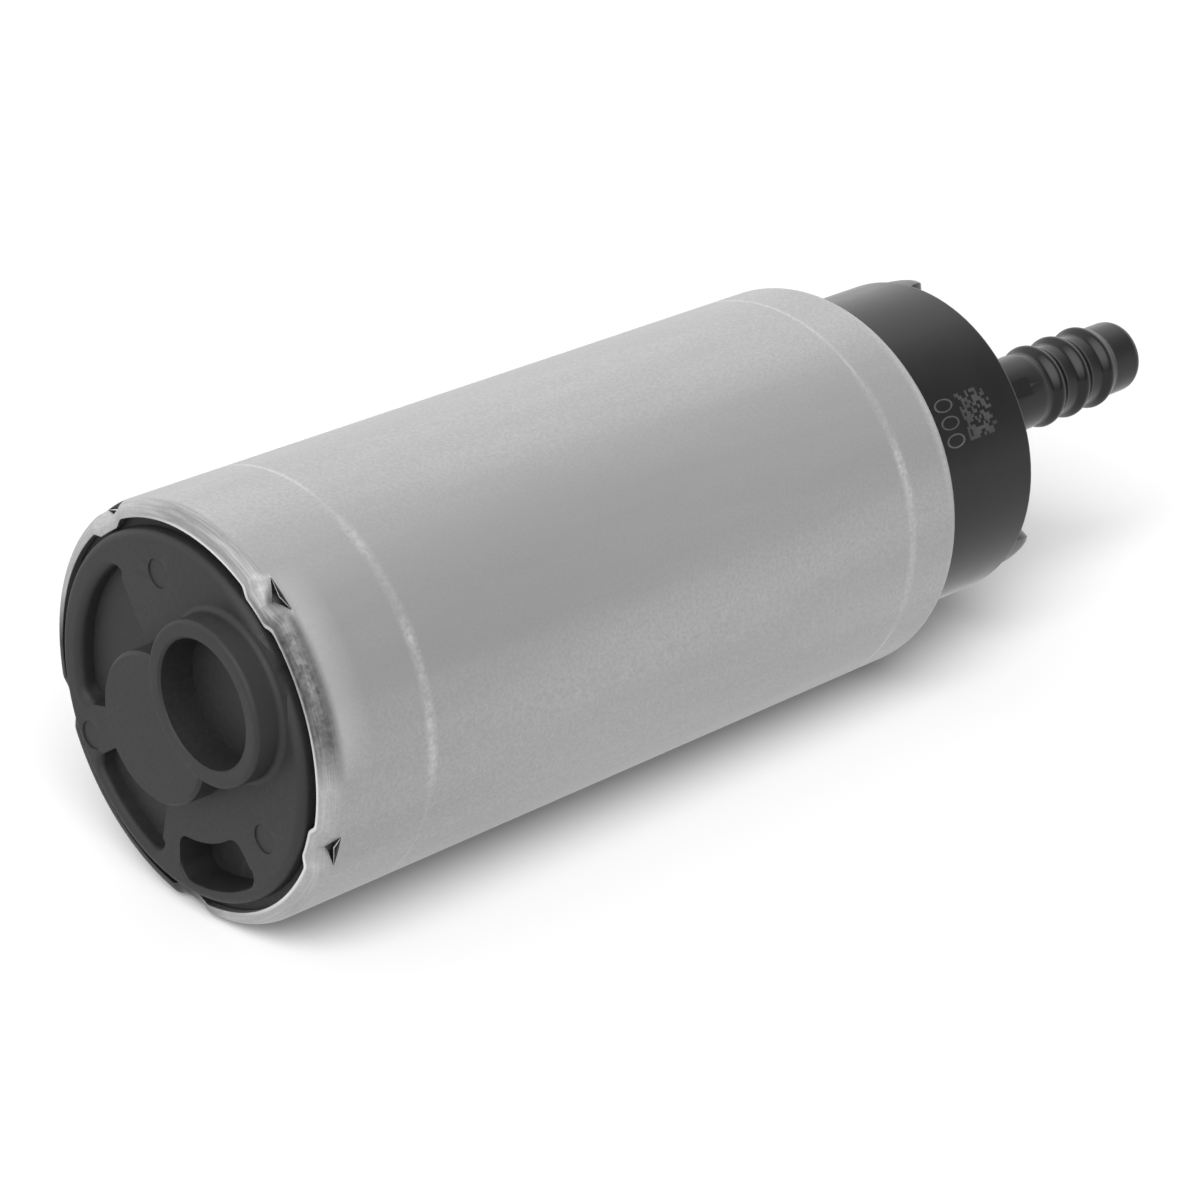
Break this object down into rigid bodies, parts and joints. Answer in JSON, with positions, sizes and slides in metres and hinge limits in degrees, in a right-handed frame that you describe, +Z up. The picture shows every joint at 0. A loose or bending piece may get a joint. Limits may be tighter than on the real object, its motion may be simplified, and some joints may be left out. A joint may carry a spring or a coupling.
{
  "type": "in-tank turbine fuel pump",
  "caption": "In-tank electric turbine fuel pump: plated steel can, moulded inlet cover with spigot, black outlet cap with barbed nozzle and plug socket.",
  "frame": {"origin": "on the rotor's axis, at the middle of the can's length", "axes": "+X along the pump's axis from the inlet to the outlet; +Z up, with the pump lying on its can; +Y completes the right-handed frame. Spigot and nozzle stand 9.93 mm off the axis at 145.7 degrees from +Y towards +Z"},
  "size_m": [0.1321, 0.043, 0.043],
  "materials": {
    "plated_steel": "satin zinc-nickel plating",
    "acetal_grey": "matte moulded acetal",
    "phenolic_brown": "lapped phenolic",
    "nylon_black": "semi-gloss moulded nylon",
    "holder_cream": "moulded acetal",
    "ferrite": "sintered ferrite",
    "spring_steel": "bright stainless wire",
    "ground_steel": "ground steel",
    "sintered_bronze": "sintered, oil brown",
    "laminated_steel": "stacked sheet",
    "enamel_copper": "enamelled copper wire",
    "bare_copper": "braided copper",
    "carbon": "pressed carbon",
    "tinned_brass": "tinned",
    "seat_brass": "turned",
    "rubber": "matte",
    "nylon_white": "moulded nylon"
  },
  "bodies": {
    "housing": {"can": "plated_steel", "inlet_cover": "acetal_grey", "thrust_pin": "ground_steel", "discharge_plate": "acetal_grey", "front_bush": "sintered_bronze", "rear_bush": "sintered_bronze", "bearing_holder": "holder_cream", "outlet_cap": "nylon_black", "cap_seal": "rubber", "magnet_a": "ferrite", "magnet_b": "ferrite", "magnet_clips": "spring_steel", "brush_spring_a": "spring_steel", "brush_spring_b": "spring_steel", "brush_lead_a": "bare_copper", "brush_lead_b": "bare_copper", "choke_rod_a": "ferrite", "choke_rod_b": "ferrite", "choke_coil_a": "enamel_copper", "choke_coil_b": "enamel_copper", "terminal_a": "tinned_brass", "terminal_b": "tinned_brass", "check_seat": "seat_brass", "check_spring": "spring_steel", "check_guide": "nylon_white", "relief_seat": "seat_brass", "relief_spring": "spring_steel"},
    "rotor": {"shaft": "ground_steel", "impeller": "phenolic_brown", "armature_core": "laminated_steel", "windings": "enamel_copper", "commutator_hub": "phenolic_brown", "commutator_segments": "carbon", "front_spacer": "nylon_white", "rear_spacer": "nylon_white"},
    "brush_slider_a": {"brush_a": "carbon"},
    "brush_slider_b": {"brush_b": "carbon"},
    "check_valve": {"check_poppet": "nylon_white", "check_seal": "rubber"},
    "relief_valve": {"relief_ball": "ground_steel"}
  },
  "joints": [
    {"name": "rotor_spin", "type": "hinge", "parent": "housing", "child": "rotor", "pos_m": [0, 0, 0], "axis": [1, 0, 0], "continuous": true},
    {"name": "brush_slide_a", "type": "slide", "parent": "housing", "child": "brush_slider_a", "axis": [1, 0, 0], "range_m": [0, 0.005], "stiffness_N_per_m": 120, "springref_m": -0.006, "deforming": ["brush_spring_a", "brush_lead_a"]},
    {"name": "brush_slide_b", "type": "slide", "parent": "housing", "child": "brush_slider_b", "axis": [1, 0, 0], "range_m": [0, 0.005], "stiffness_N_per_m": 120, "springref_m": -0.006, "deforming": ["brush_spring_b", "brush_lead_b"]},
    {"name": "check_slide", "type": "slide", "parent": "housing", "child": "check_valve", "axis": [1, 0, 0], "range_m": [0, 0.003], "stiffness_N_per_m": 150, "springref_m": -0.004, "deforming": ["check_spring"]},
    {"name": "relief_slide", "type": "slide", "parent": "housing", "child": "relief_valve", "axis": [1, 0, 0], "range_m": [0, 0.0015], "stiffness_N_per_m": 800, "springref_m": -0.002, "deforming": ["relief_spring"]}
  ]
}
